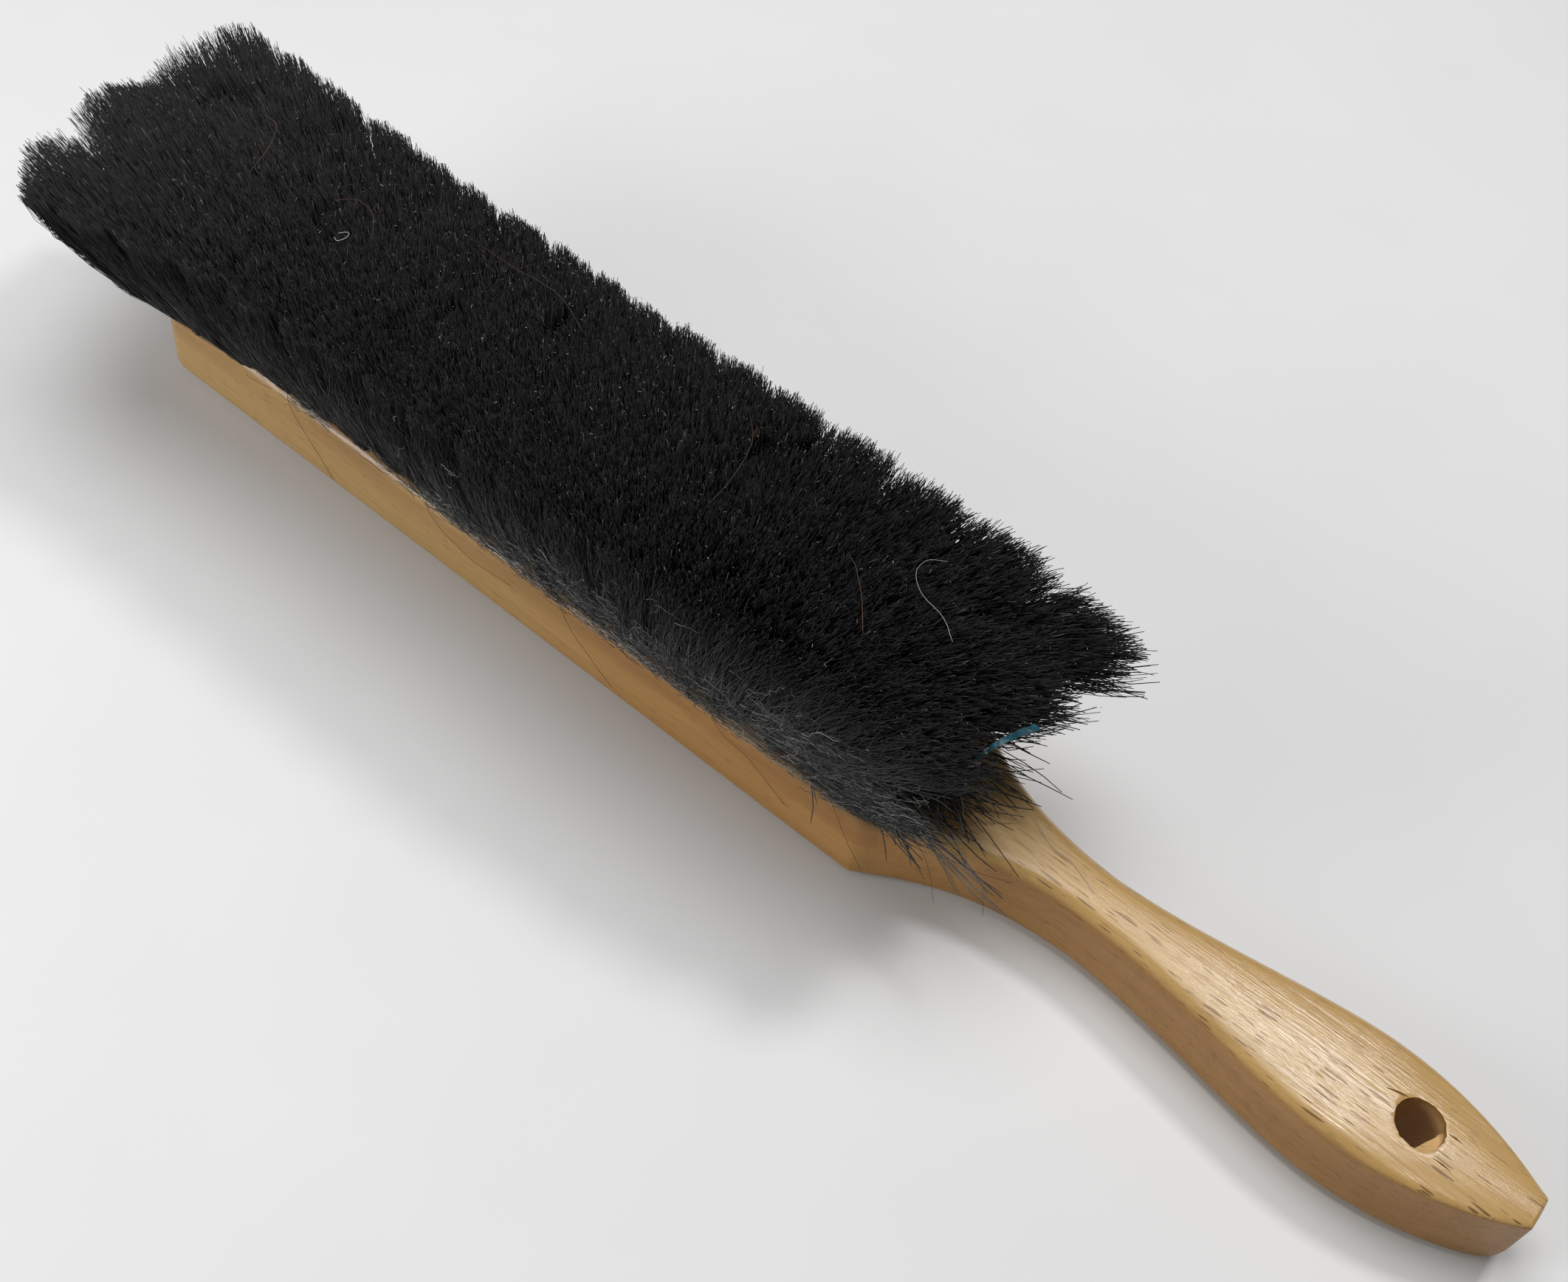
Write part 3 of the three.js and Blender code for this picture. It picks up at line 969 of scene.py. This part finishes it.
def make_neck_hairs(rng):
    """Hairs of the last tufts that use has bent down over the handle."""
    steps = 9
    root = neck_roots(rng)
    count = len(root)
    counts, *measures = zip(*NECK_HAIRS)
    ranges = [np.repeat(measure, counts, axis=0).T for measure in measures]
    length, heading, heading_turn, first_rise, last_rise = (rng.uniform(*ends) for ends in ranges)
    from_near_row = root[:, 1] / MM + 2 * ROW_SPACING / MM
    length = length * MM
    heading = np.radians(heading - 1.5 * from_near_row)
    heading_turn, first_rise, last_rise = np.radians([heading_turn, first_rise, last_rise])

    share = np.linspace(0, 1, steps)
    rise = last_rise[:, None] + (first_rise - last_rise)[:, None] * np.exp(-share / 0.17)
    turn = heading[:, None] + heading_turn[:, None] * share ** 2
    step = np.stack([np.cos(rise) * np.cos(turn), np.cos(rise) * np.sin(turn), np.sin(rise)], axis=-1)
    step = step * (length / steps)[:, None, None]
    step += rng.normal(scale=0.09 * MM, size=step.shape)
    path = np.empty((count, steps + 2, 3))
    path[:, 0] = np.column_stack([root, np.full(count, THICKNESS - 9 * MM)])
    path[:, 1] = np.column_stack([root, np.full(count, THICKNESS)])
    path[:, 2:] = path[:, 1:2] + np.cumsum(step, axis=1)
    clearance = THICKNESS + rng.uniform(0.15, 0.6, (count, 1)) * MM
    path[:, 2:, 2] = np.maximum(path[:, 2:, 2], clearance)
    radii = HAIR_RADIUS * rng.uniform(1.1, 1.7, (count, 1)) * np.append(np.ones(steps + 1), 0.7)
    piece = tube_object("neck_hairs", path, radii, bpy.data.materials["black_horsehair"], rng, sides=5)
    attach(piece, "root")


def skin(x, y, fraction):
    """Where hair that belongs at (x, y) is at a fraction of its length."""
    lean_x, lean_y = lean(x, y)
    rise = np.sqrt(TRIM ** 2 - lean_x ** 2 - lean_y ** 2)
    return np.stack([
        x + lean_x * fraction ** BEND_ALONG,
        y + lean_y * fraction ** BEND_ACROSS,
        THICKNESS + rise * fraction,
    ], axis=-1)


def curled(start, length, heading, curl, lift, rng):
    """Curly paths on the near face of the hair, each from its (x, height above the wood)."""
    levels = 10
    turn = heading[:, None] + np.cumsum(rng.normal(scale=curl, size=(len(length), levels)), axis=1)
    step = (length / levels)[:, None]
    x = start[:, :1] + np.cumsum(np.cos(turn) * step, axis=1)
    height = start[:, 1:] + np.cumsum(np.sin(turn) * step, axis=1)
    field_x = np.minimum(x, FIELD_MIDDLE + FIELD_HALF_LENGTH)
    share = np.clip(height / TRIM, 0.012, 1.0)
    path = skin(field_x, np.full_like(x, -FIELD_HALF_WIDTH), share)
    path[..., 0] += x - field_x
    path[..., 1] += 0.2 * (x - field_x)
    path[..., 1] -= lift[:, None] + np.cumsum(rng.normal(scale=0.16 * MM, size=x.shape), axis=1)
    return path


def make_lint(rng):
    """Grey lint matted into the foot of the near face, thicker to the handle."""
    clouds = 60
    fibres = 54
    to_handle = np.sort(rng.beta(2.2, 1.0, clouds))
    cloud_x = (-50 + 156 * to_handle) * MM
    past_end = np.maximum(cloud_x - 88 * MM, 0)
    cloud_height = rng.uniform(1, 8 + 22 * to_handle) * MM * (1 - past_end / (24 * MM))
    cloud_size = rng.uniform(2, 5, clouds) * MM * (1 - 0.5 * past_end / (18 * MM))
    cloud_lift = rng.uniform(-0.2, 0.8 + 1.6 * to_handle) * MM
    count = clouds * fibres
    which = np.repeat(np.arange(clouds), fibres)
    start = np.stack([cloud_x[which], cloud_height[which]], axis=1)
    start += rng.normal(size=(count, 2)) * cloud_size[which][:, None]
    length = rng.uniform(4, 13, count) * MM
    heading = rng.uniform(0, 2 * math.pi, count)
    lift = cloud_lift[which] + rng.normal(scale=0.45 * MM, size=count)
    path = curled(start, length, heading, 0.6, lift, rng)
    radii = rng.uniform(0.022, 0.055, (count, 1)) * MM
    material = fibre_material("grey_lint", (0.03, 0.03, 0.03), (0.45, 0.45, 0.44), 0.9, rarity=3)
    piece = tube_object("lint_on_near_face", path, radii, material, rng)
    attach(piece, "root")


def make_pale_bits(rng):
    """Short pale hairs on the near face, and specks of dust over all the tips."""
    count = 60
    x = (-70 + 155 * rng.beta(2.0, 1.0, count)) * MM
    start = np.stack([x, rng.uniform(1.5, 43, count) * MM], axis=1)
    heading = rng.uniform(0, math.pi, count)
    length = rng.uniform(2.0, 6.0, count) * MM
    near = curled(start, length, heading, 0.18, rng.uniform(0.2, 0.8, count) * MM, rng)
    radii = rng.uniform(0.035, 0.075, (count, 1)) * MM

    specks = 2400
    home_x = FIELD_MIDDLE + FIELD_HALF_LENGTH * rng.uniform(-1, 1, specks)
    home_y = FIELD_HALF_WIDTH * (1 - 2 * rng.beta(1, 1.5, specks))
    place = skin(home_x, home_y, rng.uniform(0.93, 1.02, specks))
    direction = unit(rng.normal(size=(specks, 1, 3)))
    run = np.linspace(-0.5, 0.5, near.shape[1])[None, :, None]
    speck_length = rng.uniform(0.15, 0.9, (specks, 1, 1)) ** 2 * MM
    top = place[:, None] + direction * run * speck_length
    speck_radii = rng.uniform(0.03, 0.07, (specks, 1)) * MM
    material = fibre_material("pale_dust", (0.10, 0.095, 0.09), (0.50, 0.48, 0.44), 0.8)
    paths = np.concatenate([near, top])
    radii = np.concatenate([radii, speck_radii])
    piece = tube_object("pale_hairs_and_dust", paths, radii, material, rng)
    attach(piece, "root")


def smooth_path(points, levels):
    """A smooth path through a few points in millimetres, at equal steps of its parameter."""
    points = np.array(points, dtype=float)
    slopes = np.gradient(points, axis=0)
    at = np.linspace(0, len(points) - 1, levels)
    k = np.minimum(at.astype(int), len(points) - 2)
    t = (at - k)[:, None]
    weight = 2 * t ** 3 - 3 * t ** 2 + 1
    between = weight * points[k] + (1 - weight) * points[k + 1]
    bend = (t ** 3 - 2 * t ** 2 + t) * slopes[k] + (t ** 3 - t ** 2) * slopes[k + 1]
    return (between + bend) * MM


def make_loose_hairs(rng):
    """Loose hairs caught in the brush, over the wood and on the tips."""
    levels = 18
    for name, colours, places in LOOSE_HAIRS:
        paths = np.stack([smooth_path(points, levels) for points in places])
        paths += np.cumsum(rng.normal(scale=0.04 * MM, size=paths.shape), axis=1)
        radii = np.full((len(paths), 1), LOOSE_HAIR_RADIUS)
        material = fibre_material(name + "_colour", *colours, 0.5)
        piece = tube_object(name, paths, radii, material, rng, sides=5)
        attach(piece, "root")


def make_sliver():
    """A thin creased sliver of plastic caught in the tips at the handle end."""
    crease = np.array([0, 0.2, -0.1, 0.25, 0, -0.2, 0.15, 0.3, 0, -0.15, 0.2, 0]) * MM
    steps = len(crease)
    centre = smooth_path(SLIVER_PATH, steps)
    half_width = np.linspace(0.45, 1.0, steps) * MM
    half_thick = 0.06 * MM
    across = unit(np.array([1.0, -0.36, 0.3]))
    points = []
    for k in range(steps):
        for side, height in ((-1, -1), (1, -1), (1, 1), (-1, 1)):
            point = centre[k] + across * side * half_width[k]
            points.append(point + np.array([0, 0, crease[k] * side + height * half_thick]))
    piece = mesh_object("teal_sliver", points, loft_faces(4, steps), sliver_material())
    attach(piece, "root")


def make_anchors():
    """A flat wire on edge across each tuft's fold, its ends driven into the wood."""
    points = []
    faces = []
    half_length = TUFT_HOLE_RADIUS + 0.15 * MM
    half_thick = 0.18 * MM
    foot = THICKNESS - TUFT_HOLE_DEPTH - 0.1 * MM
    top = foot + 1.7 * MM
    corner = 0.35 * MM
    across = (-half_length, -half_length + corner, half_length - corner, half_length)
    below = (foot + corner, foot, foot, foot + corner)
    above = (top - corner, top, top, top - corner)
    outline = [*zip(across, below), *zip(across[::-1], above)]
    for tuft_x, tuft_y in tuft_centres():
        faces.extend(loft_faces(len(outline), 2, len(points)))
        for offset in (-half_thick, half_thick):
            points.extend((tuft_x + offset, tuft_y + y, z) for y, z in outline)
    piece = mesh_object("tuft_anchors", points, faces, wire_material())
    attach(piece, "root")


# ---- the studio

def make_floor():
    """A plain floor, a little under the brush so that no faces meet."""
    drop = 0.3 * MM
    corners = [(-2, -2, -drop), (2, -2, -drop), (2, 2, -drop), (-2, 2, -drop)]
    floor = mesh_object("studio_floor", corners, [(0, 1, 2, 3)], floor_material())


def area_light(name, place, aim, size, power):
    """A white round light, in metres and watts."""
    lamp = bpy.data.lights.new(name, "AREA")
    lamp.shape = "DISK"
    lamp.size = size
    lamp.energy = power
    holder = link_object(name, lamp)
    holder.location = place
    holder.rotation_euler = (Vector(aim) - Vector(place)).to_track_quat("-Z", "Y").to_euler()


def make_lights():
    """A small bright window past the handle's far side, and two soft lights."""
    world = bpy.data.worlds.new("studio")
    bpy.context.scene.world = world
    world.use_nodes = True
    background = world.node_tree.nodes["Background"]
    background.inputs["Color"].default_value = (1, 1, 1, 1)
    background.inputs["Strength"].default_value = 0.15
    area_light("window", (0.235, 0.57, 1.08), (0.10, 0, 0), 0.22, 4.7)
    area_light("overhead", (-0.18, 0.10, 1.15), (0.05, 0, 0), 0.80, 7.5)
    area_light("fill", (-0.34, -0.52, 0.28), (0, 0, 0.02), 0.35, 2.15)
    bpy.context.scene.view_settings.view_transform = "Standard"


def make_camera():
    """The photograph's view: from the near side and past the handle, looking down."""
    place = Vector((179.9, -203.9, 333.1)) * MM
    aim = Vector((55.4, 16.6, 0)) * MM
    roll = 0.2028
    lens = bpy.data.cameras.new("camera")
    lens.lens = 43.74
    lens.sensor_width = 36
    lens.clip_start = 0.01
    camera = link_object("camera", lens)
    turn = (aim - place).to_track_quat("-Z", "Y") @ Quaternion((0, 0, 1), roll)
    camera.location = place
    camera.rotation_euler = turn.to_euler()
    bpy.context.scene.camera = camera


make_wood(np.random.default_rng(SEED))
make_rim_splinter(np.random.default_rng(SEED + 6))
make_hair_ranks(np.random.default_rng(SEED + 1))
make_neck_hairs(np.random.default_rng(SEED + 2))
make_lint(np.random.default_rng(SEED + 3))
make_pale_bits(np.random.default_rng(SEED + 4))
make_loose_hairs(np.random.default_rng(SEED + 5))
make_sliver()
make_anchors()
make_floor()
make_lights()
make_camera()
